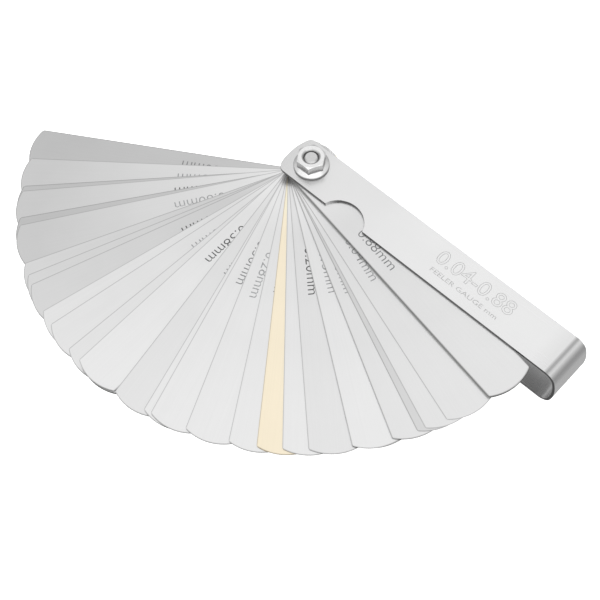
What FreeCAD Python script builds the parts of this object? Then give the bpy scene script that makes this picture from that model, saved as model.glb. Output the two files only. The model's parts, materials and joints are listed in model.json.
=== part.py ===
import FreeCAD, Part
import math
import os

import Sketcher

# A pocket feeler gauge: 32 thickness leaves that swing on one clamping screw and fold into a case.
# The case is one strip of sheet steel folded into a long U. The screw passes through both plates of
# the case and through every leaf, and a hexagon flange nut on top clamps the stack.
#
# Frame: the origin is on the screw's axis, at the underside of the case's lower plate. +Z runs up
# the screw to the nut and +X along the case to its folded end. The leaves are fanned out clockwise,
# seen from above, from the case's direction.

os.makedirs("parts", exist_ok=True)
doc = FreeCAD.newDocument("FeelerGauge")

# ---------------------------------------------------------------------------------------------
# Driving dimensions, in millimetres and degrees
# ---------------------------------------------------------------------------------------------

DIMENSIONS = [
    ("strip_width", 12.7, "width of the case and of every leaf"),
    ("leaf_reach", 80.3, "pivot to the middle of a leaf's tip"),
    ("butt_reach", 7.2, "pivot to the middle of the rounded butt end, on leaves and case"),
    ("tip_radius", 12.7, "radius of the shallow arc across a leaf's tip"),
    ("butt_radius", 14.6, "radius of the shallow arc across a butt end"),
    ("tip_corner", 0.8, "rounding of the corners at a leaf's tip"),
    ("leaf_gap", 0.006, "oil film between two leaves"),
    ("leaf_hole", 4.1, "diameter of a leaf's pivot hole"),
    ("case_height", 14.02, "height over both plates of the case"),
    ("sheet", 0.7, "thickness of the case's sheet"),
    ("fold_start", 82.2, "pivot to the start of the folded end"),
    ("fold_radius", 3.5, "outer radius of the two folds"),
    ("wall_radius", 16.0, "outer radius of the slightly bowed end wall"),
    ("case_hole", 4.2, "diameter of the case's pivot holes"),
    ("butt_corner", 2.0, "rounding of the corners at a butt end, on leaves and case"),
    ("notch_x", 17.1, "pivot to the middle of the thumb notch, along the case"),
    ("notch_y", 8.45, "case's centre line to the middle of the thumb notch"),
    ("notch_radius", 6.7, "radius of the thumb notch"),
    ("notch_lip", 0.25, "rounding of the notch's two ends"),
    ("edge_break", 0.12, "rounding of the case's outer edges"),
    ("blank_back", 9.0, "pivot to the back of the folded blank, before its butt is cut"),
    ("cut_margin", 3.0, "how far a cutting shape reaches past the metal"),
    ("screw_dia", 4.0, "diameter of the clamping screw"),
    ("screw_point", 0.5, "chamfer at the end of the screw"),
    ("screw_sink", 0.15, "how far the screw's end stays below the nut's top"),
    ("head_dia", 7.6, "diameter of the screw's button head"),
    ("head_height", 2.2, "height of the screw's button head"),
    ("head_flat", 4.4, "diameter of the flat on the button head"),
    ("head_rim", 0.5, "height of the head's upright rim"),
    ("socket_across", 2.5, "width across the flats of the hexagon socket"),
    ("socket_depth", 1.3, "depth of the hexagon socket"),
    ("socket_turned", 30.0, "angle of the socket's first corner from the case's direction"),
    ("washer_dia", 9.0, "outer diameter of the washer under the head"),
    ("washer_hole", 4.3, "hole in the washer"),
    ("washer_thick", 0.8, "thickness of the washer"),
    ("nut_height", 4.0, "height of the flange nut"),
    ("nut_across", 7.0, "width across the flats of the nut"),
    ("nut_turned", 2.0, "angle of the nut's first corner from the case's direction"),
    ("nut_bore", 4.1, "diameter of the nut's bore, over the thread"),
    ("nut_sink", 5.0, "diameter of the countersink at the nut's top"),
    ("sink_depth", 0.45, "depth of that countersink"),
    ("cone_inset", 0.05, "how far inside the flats the cone that trims the nut's corners begins"),
    ("cone_run", 2.0, "how far that cone runs out past the flats"),
    ("cone_drop", 1.18, "how far it drops on the way, at thirty degrees"),
    ("flange_dia", 9.5, "diameter of the nut's flange"),
    ("flange_foot", 0.15, "chamfer under the flange's rim"),
    ("flange_rim", 0.6, "height of the flange's rim"),
    ("flange_cone", 1.5, "height at which the flange's cone meets the hexagon"),
    ("nut_corner", 0.25, "rounding of the nut's six upright edges"),
    ("nut_edge", 0.1, "chamfer at the top of the flange's rim"),
]

# The leaves from the top of the stack to the bottom: mark, true thickness, and how far the leaf is
# swung out of the case, to the nearest half degree. The marks are rounded, because the set is made in
# thousandths of an inch. The thickest leaf lies on top, where it protects the thin ones.
LEAVES = [
    ("088", 0.889, 10.0),
    ("004", 0.038, 18.5),
    ("005", 0.051, 22.5),
    ("006", 0.063, 24.0),
    ("008", 0.076, 28.5),
    ("010", 0.102, 28.5),
    ("013", 0.127, 28.5),
    ("015", 0.152, 35.5),
    ("018", 0.178, 35.0),
    ("020", 0.203, 43.0),
    ("023", 0.229, 47.5),
    ("025_brass", 0.254, 52.0),
    ("025", 0.254, 57.0),
    ("028", 0.279, 65.0),
    ("030", 0.305, 72.0),
    ("033", 0.330, 73.5),
    ("035", 0.356, 80.0),
    ("038", 0.381, 89.5),
    ("040", 0.406, 89.0),
    ("043", 0.432, 89.0),
    ("045", 0.457, 93.0),
    ("048", 0.483, 99.5),
    ("050", 0.508, 103.0),
    ("053", 0.533, 109.5),
    ("055", 0.559, 112.0),
    ("058", 0.584, 115.0),
    ("060", 0.610, 124.0),
    ("063", 0.635, 126.0),
    ("065", 0.660, 132.5),
    ("070", 0.711, 134.0),
    ("075", 0.762, 141.0),
    ("080", 0.813, 148.5),
]

# Two places this close, in millimetres, are the same place.
TOUCHING = 1e-4

sheet = doc.addObject("Spreadsheet::Sheet", "Dimensions")
value_of = {}
row_count = 0


def add_row(alias, content, note):
    """Write one named dimension, a plain number or a formula, into the spreadsheet."""
    global row_count
    row_count += 1
    sheet.set("A%d" % row_count, alias)
    sheet.set("B%d" % row_count, str(content))
    sheet.set("C%d" % row_count, note)
    sheet.setAlias("B%d" % row_count, alias)


for alias, value, note in DIMENSIONS:
    value_of[alias] = value
    add_row(alias, value, note)

above = "case_height - sheet"
for mark, thickness, fanned in LEAVES:
    add_row("thick_" + mark, thickness, "thickness of leaf " + mark)
    add_row("fan_" + mark, fanned, "angle of leaf %s, clockwise from the case" % mark)
    add_row("level_" + mark, "=%s - leaf_gap - thick_%s" % (above, mark), "underside of leaf " + mark)
    above = "level_" + mark
doc.recompute()


# ---------------------------------------------------------------------------------------------
# Small tools for sketches and features
# ---------------------------------------------------------------------------------------------

def vec(x, y, z=0.0):
    return FreeCAD.Vector(x, y, z)


def new_body(label):
    body = doc.addObject("PartDesign::Body", label)
    body.Label = label
    doc.recompute()
    return body


def new_sketch(body, role, name):
    """Start a sketch on one of the body's own base planes."""
    sketch = body.newObject("Sketcher::SketchObject", name)
    plane = [f for f in body.Origin.OriginFeatures if f.Role == role][0]
    sketch.AttachmentSupport = [(plane, "")]
    sketch.MapMode = "FlatFace"
    doc.recompute()
    return sketch


def drive(sketch, kind, refs, start, formula):
    """Add a dimensional constraint and bind it to a formula of the spreadsheet's names."""
    index = sketch.addConstraint(Sketcher.Constraint(kind, *refs, start))
    sketch.setExpression("Constraints[%d]" % index, formula)
    return index


def line(sketch, start, end):
    return sketch.addGeometry(Part.LineSegment(vec(*start), vec(*end)), False)


def arc(sketch, centre, radius, first, last):
    """Add an arc between two angles in degrees, anticlockwise."""
    circle = Part.Circle(vec(*centre), vec(0, 0, 1), radius)
    return sketch.addGeometry(Part.ArcOfCircle(circle, math.radians(first), math.radians(last)), False)


def circle_at_origin(sketch, diameter, formula):
    index = sketch.addGeometry(Part.Circle(vec(0, 0), vec(0, 0, 1), diameter / 2.0), False)
    sketch.addConstraint(Sketcher.Constraint("Coincident", index, 3, -1, 1))
    drive(sketch, "Diameter", [index], diameter, formula)
    return index


def polygon(sketch, points):
    """Add a closed chain of lines and return their indices."""
    count = len(points)
    lines = [line(sketch, points[i], points[(i + 1) % count]) for i in range(count)]
    for i in range(count):
        sketch.addConstraint(Sketcher.Constraint("Coincident", lines[i], 2, lines[(i + 1) % count], 1))
    return lines


def pin_point(sketch, index, place, x, x_formula, y, y_formula):
    """Hold one end of a line at a position given by two formulas."""
    for kind, start, formula in (("DistanceX", x, x_formula), ("DistanceY", y, y_formula)):
        if formula == "0":
            axis = -2 if kind == "DistanceX" else -1
            sketch.addConstraint(Sketcher.Constraint("PointOnObject", index, place, axis))
        else:
            drive(sketch, kind, [-1, 1, index, place], start, formula)


def driven_polygon(sketch, corners):
    """Add a closed polygon whose corners are (x, formula of x, y, formula of y)."""
    lines = polygon(sketch, [(x, y) for x, fx, y, fy in corners])
    for index, (x, fx, y, fy) in zip(lines, corners):
        pin_point(sketch, index, 1, x, fx, y, fy)
    return lines


def value(formula):
    """Work a formula out with the spreadsheet's numbers, for the first guess of a sketch."""
    total = 0.0
    sign = 1.0
    for word in formula.split():
        if word == "-":
            sign = -1.0
        elif word == "+":
            sign = 1.0
        else:
            name, _, divisor = word.partition("/")
            number = value_of[name] if name in value_of else float(name)
            total += sign * number / (float(divisor) if divisor else 1.0)
    return total


def bind(formula):
    """Point every name in a formula at the spreadsheet."""
    words = []
    for word in formula.split():
        name, slash, divisor = word.partition("/")
        if name in value_of or name.startswith(("thick_", "fan_", "level_")):
            word = "Dimensions." + name + slash + divisor
        words.append(word)
    return " ".join(words)


def at(x, y):
    """A polygon corner from two formulas."""
    return value(x), bind(x), value(y), bind(y)


def pad(body, sketch, name, formula, midplane=False):
    feature = body.newObject("PartDesign::Pad", name)
    feature.Profile = sketch
    feature.Midplane = midplane
    feature.setExpression("Length", bind(formula))
    sketch.Visibility = False
    doc.recompute()
    return feature


def pocket(body, sketch, name, formula, midplane=False, downward=True):
    """Cut a sketch out of the body, and turn the cut round if it missed the solid."""
    before = body.Shape.Volume
    feature = body.newObject("PartDesign::Pocket", name)
    feature.Profile = sketch
    feature.Midplane = midplane
    feature.Reversed = not downward
    feature.setExpression("Length", bind(formula))
    sketch.Visibility = False
    doc.recompute()
    if body.Shape.Volume > before - 1e-6:
        feature.Reversed = downward
        doc.recompute()
    return feature


def revolve(body, sketch, name, kind="PartDesign::Revolution"):
    feature = body.newObject(kind, name)
    feature.Profile = sketch
    feature.ReferenceAxis = (sketch, ["V_Axis"])
    feature.Angle = 360.0
    sketch.Visibility = False
    doc.recompute()
    return feature


def fillet(body, name, formula, wanted):
    """Round the edges of the body's tip that the test picks."""
    base = body.Tip
    names = ["Edge%d" % (i + 1) for i, edge in enumerate(base.Shape.Edges) if wanted(edge)]
    feature = body.newObject("PartDesign::Fillet", name)
    feature.Base = (base, names)
    feature.setExpression("Radius", bind(formula))
    doc.recompute()
    return feature


def upright(edge):
    """True for a straight edge that runs along Z."""
    if edge.Curve.TypeId != "Part::GeomLine":
        return False
    return abs(abs(edge.tangentAt(edge.FirstParameter).z) - 1.0) < 1e-6


def at_tip(edge):
    """True for the two upright corners at a leaf's tip."""
    return upright(edge) and edge.Vertexes[0].X > value("leaf_reach/2")


def at_butt(edge):
    """True for the two upright corners behind the pivot, on a leaf or the case."""
    return upright(edge) and edge.Vertexes[0].X < 0 and abs(edge.Vertexes[0].Y) > value("strip_width/4")


def at_notch(edge):
    """True for the two upright corners where the thumb notch meets the case's side."""
    along = value("case_hole") < edge.Vertexes[0].X < value("leaf_reach/2")
    return upright(edge) and along and edge.Vertexes[0].Y < -value("strip_width/4")


# ---------------------------------------------------------------------------------------------
# The leaves
# ---------------------------------------------------------------------------------------------

def leaf_outline(sketch):
    """Draw a parallel-sided strip with a shallow arc across each end and a hole at the pivot."""
    half = value("strip_width/2")
    tip = value("tip_radius")
    butt = value("butt_radius")
    tip_centre = value("leaf_reach - tip_radius")
    butt_centre = value("butt_radius - butt_reach")
    tip_angle = math.degrees(math.asin(half / tip))
    butt_angle = math.degrees(math.asin(half / butt))
    tip_x = tip_centre + math.sqrt(tip * tip - half * half)
    butt_x = butt_centre - math.sqrt(butt * butt - half * half)

    low = line(sketch, (butt_x, -half), (tip_x, -half))
    end = arc(sketch, (tip_centre, 0), tip, -tip_angle, tip_angle)
    high = line(sketch, (tip_x, half), (butt_x, half))
    back = arc(sketch, (butt_centre, 0), butt, 180 - butt_angle, 180 + butt_angle)
    sketch.addConstraint([
        Sketcher.Constraint("Coincident", low, 2, end, 1),
        Sketcher.Constraint("Coincident", end, 2, high, 1),
        Sketcher.Constraint("Coincident", high, 2, back, 1),
        Sketcher.Constraint("Coincident", back, 2, low, 1),
        Sketcher.Constraint("Horizontal", low),
        Sketcher.Constraint("Horizontal", high),
        Sketcher.Constraint("PointOnObject", end, 3, -1),
        Sketcher.Constraint("PointOnObject", back, 3, -1),
    ])
    drive(sketch, "DistanceY", [low, 2, -1, 1], half, bind("strip_width/2"))
    drive(sketch, "DistanceY", [-1, 1, high, 1], half, bind("strip_width/2"))
    drive(sketch, "Radius", [end], tip, bind("tip_radius"))
    drive(sketch, "Radius", [back], butt, bind("butt_radius"))
    drive(sketch, "DistanceX", [-1, 1, end, 3], tip_centre, bind("leaf_reach - tip_radius"))
    drive(sketch, "DistanceX", [-1, 1, back, 3], butt_centre, bind("butt_radius - butt_reach"))
    circle_at_origin(sketch, value("leaf_hole"), bind("leaf_hole"))


def make_leaf(mark):
    """Make one leaf at its own level in the stack, swung out to its own angle."""
    body = new_body("leaf_" + mark)
    sketch = new_sketch(body, "XY_Plane", "outline_" + mark)
    leaf_outline(sketch)
    pad(body, sketch, "blade_" + mark, "thick_" + mark)
    fillet(body, "tip_corners_" + mark, "tip_corner", at_tip)
    fillet(body, "butt_corners_" + mark, "butt_corner", at_butt)
    body.setExpression("Placement.Base.z", bind("level_" + mark))
    body.setExpression("Placement.Rotation.Angle", bind("fan_" + mark))
    body.Placement.Rotation = FreeCAD.Rotation(vec(0, 0, -1), 1.0)
    doc.recompute()
    return body


leaves = [make_leaf(mark) for mark, thickness, fanned in LEAVES]


# ---------------------------------------------------------------------------------------------
# The case
# ---------------------------------------------------------------------------------------------

def folded_profile(sketch, inset, back):
    """Draw the folded strip's side outline, a given distance inside its outer face."""
    height = value("case_height")
    rear_x = -value(back)
    start = value("fold_start")
    inside = value(inset)
    fold = value("fold_radius") - inside
    wall = value("wall_radius") - inside
    middle = height / 2.0
    rise = middle - value("fold_radius")
    reach = value("wall_radius") - value("fold_radius")
    lean = math.degrees(math.asin(rise / reach))
    wall_x = start - reach * math.cos(math.radians(lean))

    low = line(sketch, (rear_x, inside), (start, inside))
    lower = arc(sketch, (start, inside + fold), fold, 270, 360 - lean)
    bow = arc(sketch, (wall_x, middle), wall, -lean, lean)
    upper = arc(sketch, (start, height - inside - fold), fold, lean, 90)
    high = line(sketch, (start, height - inside), (rear_x, height - inside))
    rear = line(sketch, (rear_x, height - inside), (rear_x, inside))
    sketch.addConstraint([
        Sketcher.Constraint("Tangent", low, 2, lower, 1),
        Sketcher.Constraint("Tangent", lower, 2, bow, 1),
        Sketcher.Constraint("Tangent", bow, 2, upper, 1),
        Sketcher.Constraint("Tangent", upper, 2, high, 1),
        Sketcher.Constraint("Coincident", high, 2, rear, 1),
        Sketcher.Constraint("Coincident", rear, 2, low, 1),
        Sketcher.Constraint("Horizontal", low),
        Sketcher.Constraint("Horizontal", high),
        Sketcher.Constraint("Vertical", rear),
    ])
    pin_point(sketch, low, 2, start, bind("fold_start"), inside, bind(inset))
    pin_point(sketch, high, 1, start, bind("fold_start"), height - inside, bind("case_height - " + inset))
    drive(sketch, "Radius", [lower], fold, bind("fold_radius - " + inset))
    drive(sketch, "Radius", [upper], fold, bind("fold_radius - " + inset))
    drive(sketch, "Radius", [bow], wall, bind("wall_radius - " + inset))
    drive(sketch, "DistanceX", [rear, 1, -1, 1], -rear_x, bind(back))


def make_case():
    """Fold the strip, then cut its butt ends, the pivot holes and the thumb notch."""
    body = new_body("case_shell")
    outer = new_sketch(body, "XZ_Plane", "case_outside")
    folded_profile(outer, "0", "blank_back")
    pad(body, outer, "case_block", "strip_width", midplane=True)

    inner = new_sketch(body, "XZ_Plane", "case_inside")
    folded_profile(inner, "sheet", "blank_back + cut_margin")
    pocket(body, inner, "case_hollow", "strip_width + cut_margin", midplane=True)

    # the butt ends are cut to the same shallow arc as the leaves
    cut = new_sketch(body, "XY_Plane", "case_butt")
    butt = value("butt_radius")
    centre = value("butt_radius - butt_reach")
    side = value("strip_width/2 + cut_margin")
    rear_x = -value("blank_back + cut_margin")
    angle = math.degrees(math.asin(side / butt))
    butt_x = centre - butt * math.cos(math.radians(angle))
    curve = arc(cut, (centre, 0), butt, 180 - angle, 180 + angle)
    low = line(cut, (butt_x, -side), (rear_x, -side))
    rear = line(cut, (rear_x, -side), (rear_x, side))
    high = line(cut, (rear_x, side), (butt_x, side))
    cut.addConstraint([
        Sketcher.Constraint("Coincident", curve, 2, low, 1),
        Sketcher.Constraint("Coincident", low, 2, rear, 1),
        Sketcher.Constraint("Coincident", rear, 2, high, 1),
        Sketcher.Constraint("Coincident", high, 2, curve, 1),
        Sketcher.Constraint("Horizontal", low),
        Sketcher.Constraint("Vertical", rear),
        Sketcher.Constraint("Horizontal", high),
        Sketcher.Constraint("PointOnObject", curve, 3, -1),
    ])
    drive(cut, "Radius", [curve], butt, bind("butt_radius"))
    drive(cut, "DistanceX", [-1, 1, curve, 3], centre, bind("butt_radius - butt_reach"))
    drive(cut, "DistanceY", [rear, 1, -1, 1], side, bind("strip_width/2 + cut_margin"))
    drive(cut, "DistanceY", [-1, 1, rear, 2], side, bind("strip_width/2 + cut_margin"))
    drive(cut, "DistanceX", [rear, 1, -1, 1], -rear_x, bind("blank_back + cut_margin"))
    pocket(body, cut, "case_butt_cut", "case_height + case_height", midplane=True)

    hole = new_sketch(body, "XY_Plane", "case_pivot")
    circle_at_origin(hole, value("case_hole"), bind("case_hole"))
    pocket(body, hole, "case_pivot_holes", "case_height + case_height", midplane=True)

    bite = new_sketch(body, "XY_Plane", "case_notch")
    middle = vec(value("notch_x"), -value("notch_y"))
    round_cut = bite.addGeometry(Part.Circle(middle, vec(0, 0, 1), value("notch_radius")), False)
    drive(bite, "Radius", [round_cut], value("notch_radius"), bind("notch_radius"))
    drive(bite, "DistanceX", [-1, 1, round_cut, 3], value("notch_x"), bind("notch_x"))
    drive(bite, "DistanceY", [round_cut, 3, -1, 1], value("notch_y"), bind("notch_y"))
    pocket(body, bite, "case_notch_cut", "case_height + case_height", midplane=True)

    fillet(body, "case_corners", "butt_corner", at_butt)
    fillet(body, "case_notch_ends", "notch_lip", at_notch)

    half = value("strip_width/2")
    top = value("case_height") - TOUCHING
    wall = value("fold_start + fold_radius - sheet")

    def outer_rim(edge):
        """True for the long edges of the outer faces, along the strip's two sides."""
        points = [edge.valueAt(p) for p in (edge.FirstParameter, edge.LastParameter)]
        on_side = all(abs(abs(p.y) - half) < TOUCHING for p in points)
        outside = all(p.z < TOUCHING or p.z > top or p.x > wall for p in points)
        return on_side and outside and not upright(edge) and edge.Length > value("sheet")

    fillet(body, "case_edges", "edge_break", outer_rim)
    return body


case = make_case()


# ---------------------------------------------------------------------------------------------
# The clamping screw with its washer, and the flange nut
# ---------------------------------------------------------------------------------------------

def make_washer():
    """A plain washer between the screw's head and the lower plate."""
    body = new_body("screw_washer")
    sketch = new_sketch(body, "XY_Plane", "washer_ring")
    circle_at_origin(sketch, value("washer_dia"), bind("washer_dia"))
    circle_at_origin(sketch, value("washer_hole"), bind("washer_hole"))
    pad(body, sketch, "washer_disc", "washer_thick")
    body.setExpression("Placement.Base.z", bind("0 - washer_thick"))
    doc.recompute()
    return body


def hexagon(sketch, across, turned, formula):
    """Draw a hexagon round the origin, with its first corner at the given angle."""
    corner = across / math.sqrt(3.0)
    angles = [math.radians(turned + 60.0 * i) for i in range(6)]
    lines = polygon(sketch, [(corner * math.cos(a), corner * math.sin(a)) for a in angles])
    ring = sketch.addGeometry(Part.Circle(vec(0, 0), vec(0, 0, 1), corner), True)
    sketch.addConstraint(Sketcher.Constraint("Coincident", ring, 3, -1, 1))
    for index in lines:
        sketch.addConstraint(Sketcher.Constraint("PointOnObject", index, 1, ring))
    for first, second in zip(lines, lines[1:5]):
        sketch.addConstraint(Sketcher.Constraint("Equal", first, second))
    drive(sketch, "Distance", [-1, 1, lines[0]], across / 2.0, formula)
    return lines


def make_screw():
    """A button-head screw with a hexagon socket, its head below and its end level with the nut."""
    body = new_body("pivot_screw")
    sketch = new_sketch(body, "XZ_Plane", "screw_profile")
    end = "case_height + nut_height - screw_sink"
    corners = [
        at("0", "0 - washer_thick - head_height"),
        at("head_flat/2", "0 - washer_thick - head_height"),
        at("head_dia/2", "0 - washer_thick - head_rim"),
        at("head_dia/2", "0 - washer_thick"),
        at("screw_dia/2", "0 - washer_thick"),
        at("screw_dia/2", end + " - screw_point"),
        at("screw_dia/2 - screw_point", end),
        at("0", end),
    ]
    driven_polygon(sketch, corners)
    revolve(body, sketch, "screw_turned")

    socket = new_sketch(body, "XY_Plane", "screw_socket")
    socket.setExpression("AttachmentOffset.Base.z", bind("0 - washer_thick - head_height"))
    doc.recompute()
    hexagon(socket, value("socket_across"), value("socket_turned"), bind("socket_across/2"))
    pocket(body, socket, "screw_socket_cut", "socket_depth", downward=False)
    return body


def make_nut():
    """A hexagon nut with a conical flange, a chamfered top and a countersunk bore."""
    body = new_body("flange_nut")
    prism = new_sketch(body, "XY_Plane", "nut_hexagon")
    hexagon(prism, value("nut_across"), 0.0, bind("nut_across/2"))
    pad(body, prism, "nut_prism", "nut_height")
    fillet(body, "nut_upright_edges", "nut_corner", upright)

    skirt = new_sketch(body, "XZ_Plane", "nut_flange")
    driven_polygon(skirt, [
        at("0", "0"),
        at("flange_dia/2 - flange_foot", "0"),
        at("flange_dia/2", "flange_foot"),
        at("flange_dia/2", "flange_rim"),
        at("flange_dia/2 - nut_edge", "flange_rim + nut_edge"),
        at("nut_across/2", "flange_cone"),
        at("0", "flange_cone"),
    ])
    revolve(body, skirt, "nut_skirt")

    # the chamfer takes the six corners off the top, inside a cone at thirty degrees
    lid = new_sketch(body, "XZ_Plane", "nut_chamfer")
    driven_polygon(lid, [
        at("nut_across/2 - cone_inset", "nut_height"),
        at("nut_across/2 - cone_inset", "nut_height + cut_margin"),
        at("nut_across/2 + cone_run", "nut_height + cut_margin"),
        at("nut_across/2 + cone_run", "nut_height - cone_drop"),
    ])
    revolve(body, lid, "nut_corners", "PartDesign::Groove")

    bore = new_sketch(body, "XZ_Plane", "nut_bore")
    driven_polygon(bore, [
        at("0", "0 - cut_margin"),
        at("nut_bore/2", "0 - cut_margin"),
        at("nut_bore/2", "nut_height - sink_depth"),
        at("nut_sink/2", "nut_height"),
        at("nut_sink/2", "nut_height + cut_margin"),
        at("0", "nut_height + cut_margin"),
    ])
    revolve(body, bore, "nut_thread_bore", "PartDesign::Groove")
    body.Placement.Rotation = FreeCAD.Rotation(vec(0, 0, 1), 1.0)
    body.setExpression("Placement.Rotation.Angle", bind("nut_turned"))
    body.setExpression("Placement.Base.z", bind("case_height"))
    doc.recompute()
    return body


washer = make_washer()
screw = make_screw()
nut = make_nut()

# ---------------------------------------------------------------------------------------------
# Checks and export
# ---------------------------------------------------------------------------------------------

doc.recompute()
parts = [case, screw, washer, nut] + leaves

for item in doc.Objects:
    state = [s for s in item.State if s in ("Invalid", "Error")]
    if state:
        raise RuntimeError("%s is %s" % (item.Label, state))

for body in parts:
    shape = body.Shape
    if shape.isNull() or not shape.isValid() or len(shape.Solids) != 1:
        raise RuntimeError("%s has no single valid solid" % body.Label)
    shape.exportStep("parts/%s.step" % body.Label)
    print("%-18s volume %10.3f mm3" % (body.Label, shape.Volume))
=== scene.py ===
import json
import math

import bpy
from mathutils import Matrix, Vector

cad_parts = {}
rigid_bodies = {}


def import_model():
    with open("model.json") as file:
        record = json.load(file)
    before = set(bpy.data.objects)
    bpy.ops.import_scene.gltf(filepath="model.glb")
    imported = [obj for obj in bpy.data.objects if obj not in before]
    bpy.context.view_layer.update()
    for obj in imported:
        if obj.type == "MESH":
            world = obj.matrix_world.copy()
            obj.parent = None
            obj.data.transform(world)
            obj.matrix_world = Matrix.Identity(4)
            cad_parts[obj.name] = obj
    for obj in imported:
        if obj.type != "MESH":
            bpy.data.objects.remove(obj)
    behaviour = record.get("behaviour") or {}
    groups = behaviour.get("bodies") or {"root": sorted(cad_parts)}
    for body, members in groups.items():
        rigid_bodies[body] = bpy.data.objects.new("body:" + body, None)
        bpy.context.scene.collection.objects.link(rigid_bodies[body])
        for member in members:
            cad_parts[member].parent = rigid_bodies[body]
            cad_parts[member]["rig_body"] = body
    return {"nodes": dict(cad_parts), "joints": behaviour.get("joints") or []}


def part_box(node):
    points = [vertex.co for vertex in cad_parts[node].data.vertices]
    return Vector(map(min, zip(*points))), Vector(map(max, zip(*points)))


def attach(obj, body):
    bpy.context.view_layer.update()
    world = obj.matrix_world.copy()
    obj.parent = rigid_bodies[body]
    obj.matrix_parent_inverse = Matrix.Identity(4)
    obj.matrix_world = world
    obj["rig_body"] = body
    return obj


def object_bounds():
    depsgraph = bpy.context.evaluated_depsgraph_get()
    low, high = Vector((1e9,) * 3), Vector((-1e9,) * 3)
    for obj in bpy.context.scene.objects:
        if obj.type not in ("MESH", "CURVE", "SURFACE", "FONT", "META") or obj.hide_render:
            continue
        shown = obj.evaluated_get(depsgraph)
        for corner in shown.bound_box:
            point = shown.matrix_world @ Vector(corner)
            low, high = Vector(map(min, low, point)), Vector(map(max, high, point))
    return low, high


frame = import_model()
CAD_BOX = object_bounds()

bl_info = {
    "name": "Feeler gauge",
    "version": (1, 0, 0),
    "blender": (4, 5, 0),
    "location": "View3D > Sidebar > Feeler gauge",
    "description": "Finishes, etched marks and the stage of a fanned-out feeler gauge",
    "category": "Object",
}

MM = 0.001

# The leaves come from different coils. A grade is how bright a leaf is near the pivot and near its
# tip, as a share of new metal: thin leaves are bright rolled, and thick ones are ground and duller.
# The change from pivot to tip is painted shade and reflection.
GRADE_TONES_AND_SHADE = {
    "polished": (1.00, 1.02),
    "bright": (0.93, 1.01),
    "plain": (0.89, 0.96),
    "dull": (0.76, 0.84),
    "ground": (0.90, 0.74),
    "dark": (0.69, 0.65),
}

# Every leaf that isn't named here is of the plain grade.
LEAF_GRADES = {
    "leaf_006": "dull", "leaf_015": "bright", "leaf_023": "bright", "leaf_025_brass": "polished",
    "leaf_025": "bright", "leaf_028": "bright", "leaf_030": "bright", "leaf_033": "bright",
    "leaf_038": "bright", "leaf_053": "dull", "leaf_055": "dull", "leaf_058": "dull",
    "leaf_060": "ground", "leaf_063": "dark", "leaf_065": "ground", "leaf_070": "dark",
    "leaf_075": "ground", "leaf_080": "dark",
}

# Lines on the case, in millimetres: (text, name, start, length, height, baseline, stroke). A stroke
# draws a line in outline, and none fills it.
RANGE_LINES = (
    ("0.04-0.88", "range_mark", 42.5, 24.0, 4.2, -0.4, 0.08),
    ("FEELER GAUGE mm", "range_title", 43.5, 21.0, 1.3, -3.4, 0.0),
)

# Painted shade on the nut: darker at its foot, where the hex meets the flange, and in the countersink
# round the screw's end, with a painted reflection on the outer edge of the flange. The stops are
# (height over its foot, tone) and (distance from the axis, tone).
NUT_PAINTED_SHADE_LEVELS = (
    (0.0, 0.30), (0.20, 0.45), (0.35, 0.90), (1.30, 1.00), (1.50, 0.45), (1.75, 0.85), (3.50, 0.95),
    (4.00, 1.00),
)
NUT_PAINTED_SHADE_RINGS = ((1.9, 0.40), (2.15, 0.45), (2.35, 0.85), (2.60, 1.00), (3.2, 1.00), (4.6, 1.00), (4.75, 0.55))

# The soft room's brightness between straight down (0) and straight up (1).
ROOM_TONES = ((0.48, 0.48), (0.55, 0.50), (0.70, 0.78), (0.88, 1.00))

# The lamps: (name, place in metres, side in metres, power in watts). Each one points at the pivot.
LAMPS = (
    ("soft_key", (0.55, -0.25, 0.75), 1.1, 1.2),
    ("soft_fill", (-0.2, -0.8, 0.5), 1.0, 0.6),
)

# Noise keeps mostly between these values, so they are stretched over the whole of a pattern's range.
NOISE_SPAN = {"From Min": 0.3, "From Max": 0.7}

# A capital letter's height as a share of its font size.
CAPITAL_SHARE = 0.7

# Etching takes unevenly, so some marks are nearly black and some are faint; the rest lie between.
STRONG_MARKS = ("leaf_020", "leaf_038", "leaf_053", "leaf_065")
FAINT_MARKS = ("leaf_004", "leaf_008", "leaf_015", "leaf_028", "leaf_048", "leaf_060", "leaf_075")

# The stencil is laid by hand: these marks sit further (out, from the centre line), in millimetres.
MARK_SHIFTS = {
    "leaf_008": (1.0, 0.7), "leaf_020": (0.0, 0.2), "leaf_028": (3.0, 0.2), "leaf_030": (0.8, 0.3),
    "leaf_035": (0.0, -0.6),
}

# The case's brightness along its length, as (millimetres from the pivot, share of new plate). It is
# darker towards the butt, and the fold carries painted reflections: a dark line beside a light one,
# then two duller bands.
CASE_TONES_AND_FOLD_REFLECTIONS = (
    (-7.2, 0.80), (5.0, 0.93), (40.0, 1.00), (77.0, 1.00), (81.8, 0.92), (82.7, 0.38), (83.5, 0.83),
    (84.4, 0.66), (85.3, 0.72), (85.8, 1.00),
)


# -------------------------------------------------------------------------------------------------
# Nodes, colours and meshes
# -------------------------------------------------------------------------------------------------

def linear(code):
    """Turn an sRGB hex colour into the linear colour that a shader takes."""
    channels = [int(code[i:i + 2], 16) / 255.0 for i in (1, 3, 5)]
    return [c / 12.92 if c <= 0.04045 else ((c + 0.055) / 1.055) ** 2.4 for c in channels]


def add_node(tree, kind, settings=None, links=None):
    """Add a node, set its properties and socket values, and join its inputs to other outputs."""
    node = tree.nodes.new(kind)
    for key, value in (settings or {}).items():
        if isinstance(key, str) and hasattr(node, key):
            setattr(node, key, value)
        else:
            node.inputs[key].default_value = value
    for key, source in (links or {}).items():
        tree.links.new(source, node.inputs[key])
    return node


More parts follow.
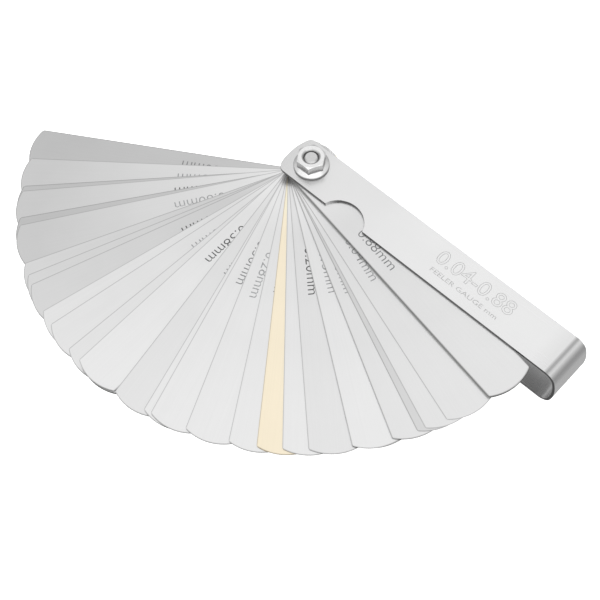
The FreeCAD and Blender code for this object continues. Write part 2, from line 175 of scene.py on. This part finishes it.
def new_material(name):
    """Start a material with an empty tree and its output."""
    material = bpy.data.materials.new(name)
    material.use_nodes = True
    material.node_tree.nodes.clear()
    output = material.node_tree.nodes.new("ShaderNodeOutputMaterial")
    return material, material.node_tree, output


def dress(thing, material):
    """Give an object one material."""
    thing.data.materials.clear()
    thing.data.materials.append(material)


def activate(thing):
    """Select one object alone and make it active."""
    bpy.ops.object.select_all(action="DESELECT")
    thing.select_set(True)
    bpy.context.view_layer.objects.active = thing


def settle(thing):
    """Move an object's place into its mesh."""
    activate(thing)
    bpy.ops.object.transform_apply(location=True, rotation=True, scale=True)


def leaf_names():
    """The names of the leaves' nodes, in order."""
    return sorted(n for n in frame["nodes"] if n.startswith("leaf_"))


def fan_angle(node):
    """How far a leaf is swung out of the case at rest, in radians, from its joint's range."""
    body = frame["nodes"][node]["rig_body"]
    joint = [j for j in frame["joints"] if j["child"] == body][0]
    return math.radians(joint["range_deg"][1])


# -------------------------------------------------------------------------------------------------
# Patterns that several finishes share
# -------------------------------------------------------------------------------------------------

def turned_point(tree, turned):
    """Object coordinates turned so that X runs along the grain: the point, its X and its Y."""
    place = add_node(tree, "ShaderNodeTexCoord")
    along = add_node(tree, "ShaderNodeMapping", {
        "vector_type": "TEXTURE", "Rotation": (0.0, 0.0, turned),
    }, {"Vector": place.outputs["Object"]})
    axes = add_node(tree, "ShaderNodeSeparateXYZ", {}, {"Vector": along.outputs["Vector"]})
    return along.outputs["Vector"], axes.outputs["X"], axes.outputs["Y"]


def grain_lines(tree, point, length, spacing):
    """Brush lines along X: noise drawn out to the given length and spacing, in millimetres."""
    drawn = add_node(tree, "ShaderNodeMapping", {
        "vector_type": "TEXTURE", "Scale": (length * MM, spacing * MM, spacing * MM),
    }, {"Vector": point})
    lines = add_node(tree, "ShaderNodeTexNoise", {"Scale": 1.0, "Detail": 3.0, "Roughness": 0.6}, {
        "Vector": drawn.outputs["Vector"],
    })
    return lines.outputs["Fac"]


def handled_tone(tree, point, patch, depth):
    """Slow changes of tone from handling and oil; patch is their size in millimetres."""
    clouds = add_node(tree, "ShaderNodeTexNoise", {"Scale": 1.0 / (patch * MM), "Detail": 2.0}, {
        "Vector": point,
    })
    tone = add_node(tree, "ShaderNodeMapRange", {
        **NOISE_SPAN, "To Min": 1.0 - depth, "To Max": 1.0,
    }, {"Value": clouds.outputs["Fac"]})
    return tone.outputs["Result"]


def stepped_tone(tree, value, stops):
    """Read a tone off a line of (millimetres, tone) stops, at a place given in metres."""
    first, last = stops[0][0], stops[-1][0]
    share = add_node(tree, "ShaderNodeMapRange", {"From Min": first * MM, "From Max": last * MM}, {
        "Value": value,
    })
    ramp = add_node(tree, "ShaderNodeValToRGB", {}, {"Fac": share.outputs["Result"]})
    marks = ramp.color_ramp.elements
    marks[0].color = [stops[0][1]] * 3 + [1.0]
    marks[1].color = [stops[-1][1]] * 3 + [1.0]
    for place, tone in stops[1:-1]:
        mark = marks.new((place - first) / (last - first))
        mark.color = [tone] * 3 + [1.0]
    return ramp.outputs["Color"]


def shaded_colour(tree, colour, tones):
    """Darken a colour by every tone in turn."""
    shade = tones[0]
    for tone in tones[1:]:
        shade = add_node(tree, "ShaderNodeMath", {"operation": "MULTIPLY"}, {0: shade, 1: tone}).outputs[0]
    shaded = add_node(tree, "ShaderNodeVectorMath", {"operation": "SCALE", 0: colour}, {"Scale": shade})
    return shaded.outputs["Vector"]


def facing_share(tree, axis, start, end):
    """One where a face's normal lies along an axis, nought where it lies across it."""
    place = add_node(tree, "ShaderNodeTexCoord")
    parts = add_node(tree, "ShaderNodeSeparateXYZ", {}, {"Vector": place.outputs["Normal"]})
    size = add_node(tree, "ShaderNodeMath", {"operation": "ABSOLUTE"}, {0: parts.outputs[axis]})
    share = add_node(tree, "ShaderNodeMapRange", {"From Min": start, "From Max": end}, {
        "Value": size.outputs[0],
    })
    return share.outputs["Result"]


def distance_out(tree, x, y):
    """How far a point is from the axis, from its X and its Y."""
    spoke = add_node(tree, "ShaderNodeCombineXYZ", {}, {"X": x, "Y": y})
    length = add_node(tree, "ShaderNodeVectorMath", {"operation": "LENGTH"}, {0: spoke.outputs[0]})
    return length.outputs["Value"]


def metal_surface(tree, output, colour, lines, roughness, spread, relief):
    """Join a colour and its brush lines to bare metal; relief is the lines' height in millimetres."""
    rough = add_node(tree, "ShaderNodeMapRange", {
        **NOISE_SPAN, "To Min": roughness - spread, "To Max": roughness + spread,
    }, {"Value": lines})
    bump = add_node(tree, "ShaderNodeBump", {"Strength": 0.1, "Distance": relief * MM}, {
        "Height": lines,
    })
    shader = add_node(tree, "ShaderNodeBsdfPrincipled", {"Metallic": 1.0}, {
        "Base Color": colour, "Roughness": rough.outputs["Result"], "Normal": bump.outputs["Normal"],
    })
    tree.links.new(shader.outputs["BSDF"], output.inputs["Surface"])


# -------------------------------------------------------------------------------------------------
# Finishes
# -------------------------------------------------------------------------------------------------

def rolled_leaf(name, colour, edge, roughness, turned, tones, leaf):
    """A rolled and ground strip: satin, with a fine grain along it that only shows as faint streaks.

    A painted shade darkens a thin line along its border, standing for the shadow between stacked
    leaves. Its sides are sheared and dull, and their dark colour is partly painted reflection.
    tones are the brightness 25 mm and 75 mm from the pivot; the change between them is painted shade
    and reflection.
    """
    material, tree, output = new_material(name)
    point, x, y = turned_point(tree, turned)
    # the true grain is a few hundredths of a millimetre apart, and is drawn coarser so that it shows
    lines = grain_lines(tree, point, 40.0, 0.35)
    # painted shade and reflection: the leaf's brightness changes from 25 mm to 75 mm out from the pivot
    along = add_node(tree, "ShaderNodeMapRange", {
        "From Min": 25.0 * MM, "From Max": 75.0 * MM, "To Min": tones[0], "To Max": tones[1],
    }, {"Value": x})
    # painted light: the roots, 5 to 20 mm from the pivot, are brightened by a tenth against the shade under
    # the case
    painted_root_light = add_node(tree, "ShaderNodeMapRange", {
        "From Min": 5.0 * MM, "From Max": 20.0 * MM, "To Min": 1.10, "To Max": 1.0,
    }, {"Value": x})
    streaks = add_node(tree, "ShaderNodeMapRange", {
        **NOISE_SPAN, "To Min": 0.975, "To Max": 1.0,
    }, {"Value": lines})

    # how far in a point is from the straight sides, and from the arc of the tip
    across = add_node(tree, "ShaderNodeMath", {"operation": "ABSOLUTE"}, {0: y})
    side = add_node(tree, "ShaderNodeMath", {"operation": "SUBTRACT", 0: leaf.width / 2}, {
        1: across.outputs[0],
    })
    beyond = add_node(tree, "ShaderNodeMath", {"operation": "SUBTRACT", 1: leaf.reach - leaf.tip}, {0: x})
    beyond = add_node(tree, "ShaderNodeMath", {"operation": "MAXIMUM", 1: 0.0}, {0: beyond.outputs[0]})
    tip = add_node(tree, "ShaderNodeMath", {"operation": "SUBTRACT", 0: leaf.tip}, {
        1: distance_out(tree, beyond.outputs[0], y),
    })
    inset = add_node(tree, "ShaderNodeMath", {"operation": "MINIMUM"}, {
        0: side.outputs[0], 1: tip.outputs[0],
    })
    # painted shade: a thin dark line 0.1 to 0.28 mm in from the border, standing for the shadow between
    # stacked leaves
    painted_rim_shade = add_node(tree, "ShaderNodeMapRange", {
        "From Min": 0.10 * MM, "From Max": 0.28 * MM, "To Min": 0.66, "To Max": 1.0,
    }, {"Value": inset.outputs[0]})

    face = shaded_colour(tree, colour, [
        along.outputs["Result"], painted_root_light.outputs["Result"], streaks.outputs["Result"],
        handled_tone(tree, point, 14.0, 0.03), painted_rim_shade.outputs["Result"],
    ])
    # the sides take the edge colour: partly the sheared metal's own dullness, partly painted reflection of
    # dark surroundings
    # Mix takes its colours on inputs 6 and 7 and gives a colour on output 2
    whole = add_node(tree, "ShaderNodeMix", {"data_type": "RGBA", 6: edge + [1.0]}, {
        0: facing_share(tree, "Z", 0.25, 0.75), 7: face,
    })
    metal_surface(tree, output, whole.outputs[2], lines, roughness, 0.02, 0.002)
    return material


def satin_plate(name, colour, edge, inside, roughness, tones, core):
    """Satin nickel over folded strip: smooth and pale outside, unpolished inside, sheared at its sides,
    whose dark colour is partly painted shade and reflection.

    tones are (millimetres from the pivot, brightness), and hold painted reflections along the fold.
    core is a point between the two plates, in metres: the faces that look towards it are the inside.
    """
    material, tree, output = new_material(name)
    point, x, y = turned_point(tree, 0.0)
    # drawn coarser than the true grain, like the leaves' grain
    lines = grain_lines(tree, point, 30.0, 0.30)
    streaks = add_node(tree, "ShaderNodeMapRange", {
        **NOISE_SPAN, "To Min": 0.985, "To Max": 1.0,
    }, {"Value": lines})
    outside = shaded_colour(tree, colour, [
        stepped_tone(tree, x, tones), streaks.outputs["Result"], handled_tone(tree, point, 16.0, 0.03),
    ])
    dull = shaded_colour(tree, inside, [handled_tone(tree, point, 5.0, 0.12)])

    place = add_node(tree, "ShaderNodeTexCoord")
    away = add_node(tree, "ShaderNodeVectorMath", {"operation": "SUBTRACT", 1: core}, {0: point})
    facing = add_node(tree, "ShaderNodeVectorMath", {"operation": "DOT_PRODUCT"}, {
        0: place.outputs["Normal"], 1: away.outputs["Vector"],
    })
    outer = add_node(tree, "ShaderNodeMapRange", {"From Min": -0.5 * MM, "From Max": 0.5 * MM}, {
        "Value": facing.outputs["Value"],
    })
    faces = add_node(tree, "ShaderNodeMix", {"data_type": "RGBA"}, {
        0: outer.outputs["Result"], 6: dull, 7: outside,
    })
    # the sheared sides take the edge colour: partly the plate's own, partly painted shade and reflection
    whole = add_node(tree, "ShaderNodeMix", {"data_type": "RGBA", 7: edge + [1.0]}, {
        0: facing_share(tree, "Y", 0.35, 0.75), 6: faces.outputs[2],
    })
    metal_surface(tree, output, whole.outputs[2], lines, roughness, 0.015, 0.001)
    return material


def bright_plate(name, colour, roughness, levels=None, rings=None, painted_side_shade=1.0):
    """Bright plate over turned steel: it mirrors softly and shows the faint rings of the turning tool.

    levels are (height, tone) stops and rings are (distance from the axis, tone) stops, both in
    millimetres, for painted shade in the corners and the countersink and a painted reflection on the
    outer edge of the flange. painted_side_shade is the painted shade on sides that stand straight up.
    """
    material, tree, output = new_material(name)
    point, x, y = turned_point(tree, 0.0)
    radius = distance_out(tree, x, y)
    # turning marks 0.15 mm apart
    fine = add_node(tree, "ShaderNodeMath", {"operation": "DIVIDE", 1: 0.15 * MM}, {0: radius})
    marks = add_node(tree, "ShaderNodeTexNoise", {"noise_dimensions": "1D", "Scale": 1.0, "Detail": 2.0}, {
        "W": fine.outputs[0],
    })
    turned = add_node(tree, "ShaderNodeMapRange", {
        **NOISE_SPAN, "To Min": 0.93, "To Max": 1.0,
    }, {"Value": marks.outputs["Fac"]})
    # painted shade: faces that stand straight up are darker, down to painted_side_shade
    flat = add_node(tree, "ShaderNodeMapRange", {"To Min": painted_side_shade, "To Max": 1.0}, {
        "Value": facing_share(tree, "Z", 0.25, 0.75),
    })
    tones = [turned.outputs["Result"], flat.outputs["Result"], handled_tone(tree, point, 0.6, 0.05)]
    if levels:
        axes = add_node(tree, "ShaderNodeSeparateXYZ", {}, {"Vector": point})
        tones.append(stepped_tone(tree, axes.outputs["Z"], levels))
    if rings:
        tones.append(stepped_tone(tree, radius, rings))
    metal_surface(
        tree, output, shaded_colour(tree, colour, tones), marks.outputs["Fac"], roughness, 0.03, 0.002)
    return material


def etched_oxide(name, colour, roughness):
    """The matt oxide of an electro-etched mark, patchy over half a millimetre where it took unevenly."""
    material, tree, output = new_material(name)
    point, x, y = turned_point(tree, 0.0)
    shader = add_node(tree, "ShaderNodeBsdfPrincipled", {"Metallic": 0.3, "Roughness": roughness}, {
        "Base Color": shaded_colour(tree, [c * 1.3 for c in colour], [handled_tone(tree, point, 0.5, 0.45)]),
    })
    tree.links.new(shader.outputs["BSDF"], output.inputs["Surface"])
    return material


# -------------------------------------------------------------------------------------------------
# Settings
# -------------------------------------------------------------------------------------------------

class GaugeFinish(bpy.types.PropertyGroup):
    steel: bpy.props.FloatVectorProperty(
        name="Leaf steel", description="Colour of a stainless leaf", subtype="COLOR",
        # the leaf edge colours are partly the sheared metal's own and partly painted reflection
        default=linear("#F2F2F2"))
    steel_edge_and_reflection: bpy.props.FloatVectorProperty(
        name="Leaf edge", description="Colour of a leaf's sheared edge", subtype="COLOR",
        default=linear("#848483"))
    brass: bpy.props.FloatVectorProperty(
        name="Brass", description="Colour of the brass leaf", subtype="COLOR",
        default=linear("#FFF3DA"))
    brass_edge_and_reflection: bpy.props.FloatVectorProperty(
        name="Brass edge", description="Colour of the brass leaf's sheared edge", subtype="COLOR",
        default=linear("#8C7444"))
    case: bpy.props.FloatVectorProperty(
        name="Case", description="Colour of the case's satin plate", subtype="COLOR",
        default=linear("#F2F2F2"))
    # the case edge colour is partly the sheared plate's own and partly painted shade and reflection
    case_edge_and_shade: bpy.props.FloatVectorProperty(
        name="Case edge", description="Colour of the case's sheared edge", subtype="COLOR",
        default=linear("#545454"))
    case_inside: bpy.props.FloatVectorProperty(
        name="Case inside", description="Colour of the case's unpolished inside", subtype="COLOR",
        default=linear("#CECECE"))
    hardware: bpy.props.FloatVectorProperty(
        name="Nut and washer", description="Colour of the nut's bright plate", subtype="COLOR",
        default=linear("#F6F6F6"))
    screw: bpy.props.FloatVectorProperty(
        name="Screw", description="Colour of the screw's zinc", subtype="COLOR",
        default=linear("#DADADA"))
    scribed: bpy.props.FloatVectorProperty(
        name="Scribed lines", description="Colour of the outlined range on the case", subtype="COLOR",
        default=linear("#9A9A9A"))
    frosted: bpy.props.FloatVectorProperty(
        name="Frosted line", description="Colour of the small line on the case", subtype="COLOR",
        default=linear("#C2C2C2"))
    etched: bpy.props.FloatVectorProperty(
        name="Etched marks", description="Colour of the marks on the leaves", subtype="COLOR",
        default=linear("#868788"))
    leaf_roughness: bpy.props.FloatProperty(
        name="Leaf roughness", description="Roughness of a leaf's face", default=0.30, min=0.0, max=1.0)
    case_roughness: bpy.props.FloatProperty(
        name="Case roughness", description="Roughness of the case's faces", default=0.26, min=0.0, max=1.0)


class GaugeLeaf(bpy.types.PropertyGroup):
    reach: bpy.props.FloatProperty(
        name="Reach", description="Pivot to the middle of a leaf's tip", unit="LENGTH", default=80.3 * MM)
    tip: bpy.props.FloatProperty(
        name="Tip", description="Radius of the arc across a leaf's tip", unit="LENGTH", default=12.7 * MM)
    width: bpy.props.FloatProperty(
        name="Width", description="Width of a leaf", unit="LENGTH", default=12.7 * MM)


class GaugeMarks(bpy.types.PropertyGroup):
    start: bpy.props.FloatProperty(
        name="Start", description="Pivot to the first figure", unit="LENGTH", default=23.6 * MM)
    length: bpy.props.FloatProperty(
        name="Length", description="Length of a mark of six characters", unit="LENGTH", default=13.7 * MM)
    height: bpy.props.FloatProperty(
        name="Height", description="Height of a figure", unit="LENGTH", default=2.7 * MM)
    baseline: bpy.props.FloatProperty(
        name="Baseline", description="Leaf's centre line to the feet of the figures", unit="LENGTH",
        default=3.4 * MM)
    relief: bpy.props.FloatProperty(
        name="Relief", description="How far the oxide stands above the steel", unit="LENGTH",
        default=0.003 * MM, precision=6)


class GaugeStage(bpy.types.PropertyGroup):
    azimuth: bpy.props.FloatProperty(
        name="Azimuth", description="Direction of the camera round the pivot", subtype="ANGLE",
        default=math.radians(-44.8))
    elevation: bpy.props.FloatProperty(
        name="Elevation", description="Height of the camera over the pivot", subtype="ANGLE",
        default=math.radians(57.0))
    distance: bpy.props.FloatProperty(
        name="Distance", description="Camera to the pivot", unit="LENGTH", default=349.5 * MM)
    roll: bpy.props.FloatProperty(
        name="Roll", description="Tilt of the camera about its own axis", subtype="ANGLE",
        default=math.radians(-3.6))
    lens: bpy.props.FloatProperty(
        name="Lens", description="Focal length in millimetres on a 36 mm sensor", default=76.6)
    aim: bpy.props.FloatVectorProperty(
        name="Aim", description="Point that the camera looks at", subtype="TRANSLATION", unit="LENGTH",
        default=(23.4 * MM, -27.1 * MM, 7.0 * MM))
    shift: bpy.props.FloatVectorProperty(
        name="Shift", description="Shift of the lens across and up, as a share of the sensor", size=2,
        default=(-0.0117, -0.0041))
    floor: bpy.props.FloatVectorProperty(
        name="Floor", description="Colour of the floor", subtype="COLOR", default=linear("#FBFBFB"))


# -------------------------------------------------------------------------------------------------
# Leaves
# -------------------------------------------------------------------------------------------------

class GAUGE_OT_leaves(bpy.types.Operator):
    """Give every leaf its brushed finish, with the grain along its own length"""
    bl_idname = "gauge.leaves"
    bl_label = "Finish the leaves"

    def execute(self, context):
        finish = context.scene.gauge_finish
        for node in leaf_names():
            brass = "brass" in node
            # the grade's tones carry painted shade and reflection along the leaf
            tones = GRADE_TONES_AND_SHADE[LEAF_GRADES.get(node, "plain")]
            material = rolled_leaf(
                ("rolled_brass_" if brass else "ground_stainless_") + node,
                list(finish.brass if brass else finish.steel),
                list(finish.brass_edge_and_reflection if brass else finish.steel_edge_and_reflection),
                finish.leaf_roughness, -fan_angle(node), tones, context.scene.gauge_leaf)
            dress(frame["nodes"][node], material)
        return {"FINISHED"}


class GAUGE_OT_marks(bpy.types.Operator):
    """Etch each leaf's thickness in millimetres, reading outwards from the pivot"""
    bl_idname = "gauge.marks"
    bl_label = "Etch the leaf marks"

    def execute(self, context):
        marks = context.scene.gauge_marks
        finish = context.scene.gauge_finish
        oxide = list(finish.etched)
        materials = {
            "strong": etched_oxide("black_etched_oxide", [c * 0.35 for c in oxide], 0.55),
            "plain": etched_oxide("grey_etched_oxide", oxide, 0.50),
            "faint": etched_oxide("thin_etched_oxide", [c * 1.5 for c in oxide], 0.45),
        }
        for node in leaf_names():
            figure = node.split("_")[1]
            text = figure[0] + "." + figure[1:] + "mm"
            piece = self.write(text, "mark_" + node, marks)
            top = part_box(node)[1].z
            turn = Matrix.Rotation(-fan_angle(node), 4, "Z")
            outward, aside = MARK_SHIFTS.get(node, (0.0, 0.0))
            shift = (outward * MM, -aside * MM, 0.0)
            piece.matrix_world = Matrix.Translation((0.0, 0.0, top)) @ turn @ Matrix.Translation(shift)
            settle(piece)
            strength = "strong" if node in STRONG_MARKS else "faint" if node in FAINT_MARKS else "plain"
            dress(piece, materials[strength])
            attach(piece, frame["nodes"][node]["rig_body"])
        return {"FINISHED"}

    def write(self, text, name, marks):
        """Make flat letters of the wanted length and height, lying along +X beside the origin."""
        bpy.ops.object.select_all(action="DESELECT")
        bpy.ops.object.text_add(location=(0.0, 0.0, 0.0))
        piece = bpy.context.object
        piece.name = name
        piece.data.body = text
        piece.data.resolution_u = 3
        piece.data.offset = -0.010
        bpy.context.view_layer.update()
        activate(piece)
        bpy.ops.object.convert(target="MESH")
        piece = bpy.context.object
        xs = [v.co.x for v in piece.data.vertices]
        ys = [v.co.y for v in piece.data.vertices]
        piece.scale = (marks.length / (max(xs) - min(xs)), marks.height / max(ys), 1.0)
        piece.location = (marks.start - min(xs) * piece.scale.x, -marks.baseline, marks.relief)
        settle(piece)
        return piece


# -------------------------------------------------------------------------------------------------
# Case
# -------------------------------------------------------------------------------------------------

class GAUGE_OT_range(bpy.types.Operator):
    """Draw the gauge's range in outline on the case's upper plate, near its fold"""
    bl_idname = "gauge.range"
    bl_label = "Draw the range"

    def execute(self, context):
        finish = context.scene.gauge_finish
        outline = etched_oxide("scribed_plate", list(finish.scribed), 0.45)
        frosted = etched_oxide("frosted_plate", list(finish.frosted), 0.40)
        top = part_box("case_shell")[1].z
        for text, name, start, length, height, baseline, stroke in RANGE_LINES:
            bpy.ops.object.select_all(action="DESELECT")
            bpy.ops.object.text_add(location=(0.0, 0.0, 0.0))
            piece = bpy.context.object
            piece.name = name
            piece.data.body = text
            piece.data.size = height * MM / CAPITAL_SHARE
            piece.data.resolution_u = 3
            if stroke:
                piece.data.fill_mode = "NONE"
                piece.data.bevel_depth = stroke * MM / 2
                piece.data.bevel_resolution = 0
            bpy.context.view_layer.update()
            activate(piece)
            bpy.ops.object.convert(target="MESH")
            piece = bpy.context.object
            xs = [v.co.x for v in piece.data.vertices]
            piece.scale = (length * MM / (max(xs) - min(xs)), 1.0, 0.2)
            piece.location = (start * MM - min(xs) * piece.scale.x, baseline * MM, top + 0.003 * MM)
            settle(piece)
            dress(piece, outline if stroke else frosted)
            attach(piece, frame["nodes"]["case_shell"]["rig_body"])
        return {"FINISHED"}


class GAUGE_OT_case(bpy.types.Operator):
    """Give the case its satin plate, brushed along its length"""
    bl_idname = "gauge.case"
    bl_label = "Finish the case"

    def execute(self, context):
        finish = context.scene.gauge_finish
        middle = (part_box("case_shell")[0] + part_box("case_shell")[1]) / 2
        material = satin_plate(
            "satin_nickel_plate", list(finish.case), list(finish.case_edge_and_shade), list(finish.case_inside),
            finish.case_roughness, CASE_TONES_AND_FOLD_REFLECTIONS, (80.0 * MM, 0.0, middle.z))
        dress(frame["nodes"]["case_shell"], material)
        return {"FINISHED"}


# -------------------------------------------------------------------------------------------------
# Hardware
# -------------------------------------------------------------------------------------------------

class GAUGE_OT_hardware(bpy.types.Operator):
    """Give the nut, the washer and the screw their bright plate"""
    bl_idname = "gauge.hardware"
    bl_label = "Finish the hardware"

    def execute(self, context):
        finish = context.scene.gauge_finish
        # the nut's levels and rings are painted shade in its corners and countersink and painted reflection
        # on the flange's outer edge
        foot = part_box("flange_nut")[0].z / MM
        levels = [(foot + height, tone) for height, tone in NUT_PAINTED_SHADE_LEVELS]
        # 0.62 is painted shade on the nut's faces that stand straight up
        nickel = bright_plate(
            "bright_nickel_plate", list(finish.hardware), 0.20, levels, NUT_PAINTED_SHADE_RINGS, 0.62)
        plain = bright_plate("washer_nickel_plate", list(finish.hardware), 0.22)
        zinc = bright_plate("bright_zinc_plate", list(finish.screw), 0.24)
        dress(frame["nodes"]["flange_nut"], nickel)
        dress(frame["nodes"]["screw_washer"], plain)
        dress(frame["nodes"]["pivot_screw"], zinc)
        return {"FINISHED"}


# -------------------------------------------------------------------------------------------------
# Stage
# -------------------------------------------------------------------------------------------------

class GAUGE_OT_stage(bpy.types.Operator):
    """Lay the floor, set soft studio light and place the camera"""
    bl_idname = "gauge.stage"
    bl_label = "Set the stage"

    def execute(self, context):
        stage = context.scene.gauge_stage
        context.scene.view_settings.view_transform = "Standard"
        self.lay_floor(stage)
        self.light(context)
        self.place_camera(context, stage)
        return {"FINISHED"}

    def lay_floor(self, stage):
        bpy.ops.object.select_all(action="DESELECT")
        bpy.ops.mesh.primitive_plane_add(size=30.0, location=(0.0, 0.0, CAD_BOX[0][2] - 0.02 * MM))
        floor = bpy.context.object
        floor.name = "floor"
        settle(floor)
        material, tree, output = new_material("white_paper")
        lit = add_node(tree, "ShaderNodeEmission", {"Color": list(stage.floor) + [1.0], "Strength": 0.80})
        paper = add_node(tree, "ShaderNodeBsdfDiffuse", {"Color": list(stage.floor) + [1.0]})
        both = add_node(tree, "ShaderNodeAddShader", {}, {0: lit.outputs[0], 1: paper.outputs[0]})
        tree.links.new(both.outputs[0], output.inputs["Surface"])
        dress(floor, material)
        # the metal mirrors the soft room in place of the bright floor
        floor.visible_glossy = False

    def light(self, context):
        world = bpy.data.worlds.new("soft_room")
        context.scene.world = world
        world.use_nodes = True
        tree = world.node_tree
        tree.nodes.clear()
        output = tree.nodes.new("ShaderNodeOutputWorld")
        direction = add_node(tree, "ShaderNodeTexCoord")
        parts = add_node(tree, "ShaderNodeSeparateXYZ", {}, {"Vector": direction.outputs["Generated"]})
        height = add_node(tree, "ShaderNodeMapRange", {"From Min": -1.0, "From Max": 1.0}, {
            "Value": parts.outputs["Z"],
        })
        ramp = add_node(tree, "ShaderNodeValToRGB", {}, {"Fac": height.outputs["Result"]})
        stops = ramp.color_ramp.elements
        stops[0].color = (0.50, 0.50, 0.50, 1.0)
        stops[1].color = (1.0, 1.0, 1.0, 1.0)
        for share, tone in ROOM_TONES:
            stop = stops.new(share)
            stop.color = (tone, tone, tone, 1.0)
        background = add_node(tree, "ShaderNodeBackground", {"Strength": 0.95}, {
            "Color": ramp.outputs["Color"],
        })
        tree.links.new(background.outputs["Background"], output.inputs["Surface"])
        for name, place, size, power in LAMPS:
            bpy.ops.object.select_all(action="DESELECT")
            bpy.ops.object.light_add(type="AREA", location=place)
            lamp = bpy.context.object
            lamp.name = name
            lamp.data.size = size
            lamp.data.energy = power
            lamp.rotation_euler = (-Vector(place)).to_track_quat("-Z", "Y").to_euler()

    def place_camera(self, context, stage):
        out = Vector((math.cos(stage.elevation) * math.cos(stage.azimuth),
                      math.cos(stage.elevation) * math.sin(stage.azimuth),
                      math.sin(stage.elevation)))
        place = out * stage.distance
        aim = Vector(stage.aim)
        camera = bpy.data.cameras.new("camera")
        camera.lens = stage.lens
        camera.sensor_width = 36.0
        camera.shift_x, camera.shift_y = stage.shift
        camera.clip_start = 0.01
        camera.clip_end = 20.0
        holder = bpy.data.objects.new("camera", camera)
        context.scene.collection.objects.link(holder)
        look = (aim - place).to_track_quat("-Z", "Y").to_matrix().to_4x4()
        holder.matrix_world = Matrix.Translation(place) @ look @ Matrix.Rotation(stage.roll, 4, "Z")
        context.scene.camera = holder


# -------------------------------------------------------------------------------------------------
# Panel and running order
# -------------------------------------------------------------------------------------------------

class GAUGE_PT_panel(bpy.types.Panel):
    bl_idname = "GAUGE_PT_panel"
    bl_label = "Feeler gauge"
    bl_space_type = "VIEW_3D"
    bl_region_type = "UI"
    bl_category = "Feeler gauge"

    def draw(self, context):
        for operator in OPERATORS:
            self.layout.operator(operator.bl_idname)


OPERATORS = (
    GAUGE_OT_leaves, GAUGE_OT_marks, GAUGE_OT_case, GAUGE_OT_range, GAUGE_OT_hardware, GAUGE_OT_stage)
CLASSES = (GaugeFinish, GaugeLeaf, GaugeMarks, GaugeStage) + OPERATORS + (GAUGE_PT_panel,)


def register():
    for item in CLASSES:
        bpy.utils.register_class(item)
    bpy.types.Scene.gauge_finish = bpy.props.PointerProperty(type=GaugeFinish)
    bpy.types.Scene.gauge_leaf = bpy.props.PointerProperty(type=GaugeLeaf)
    bpy.types.Scene.gauge_marks = bpy.props.PointerProperty(type=GaugeMarks)
    bpy.types.Scene.gauge_stage = bpy.props.PointerProperty(type=GaugeStage)


def unregister():
    del bpy.types.Scene.gauge_stage
    del bpy.types.Scene.gauge_marks
    del bpy.types.Scene.gauge_leaf
    del bpy.types.Scene.gauge_finish
    for item in reversed(CLASSES):
        bpy.utils.unregister_class(item)


def main():
    register()
    bpy.ops.gauge.leaves()
    bpy.ops.gauge.marks()
    bpy.ops.gauge.case()
    bpy.ops.gauge.range()
    bpy.ops.gauge.hardware()
    bpy.ops.gauge.stage()


if __name__ == "__main__":
    main()
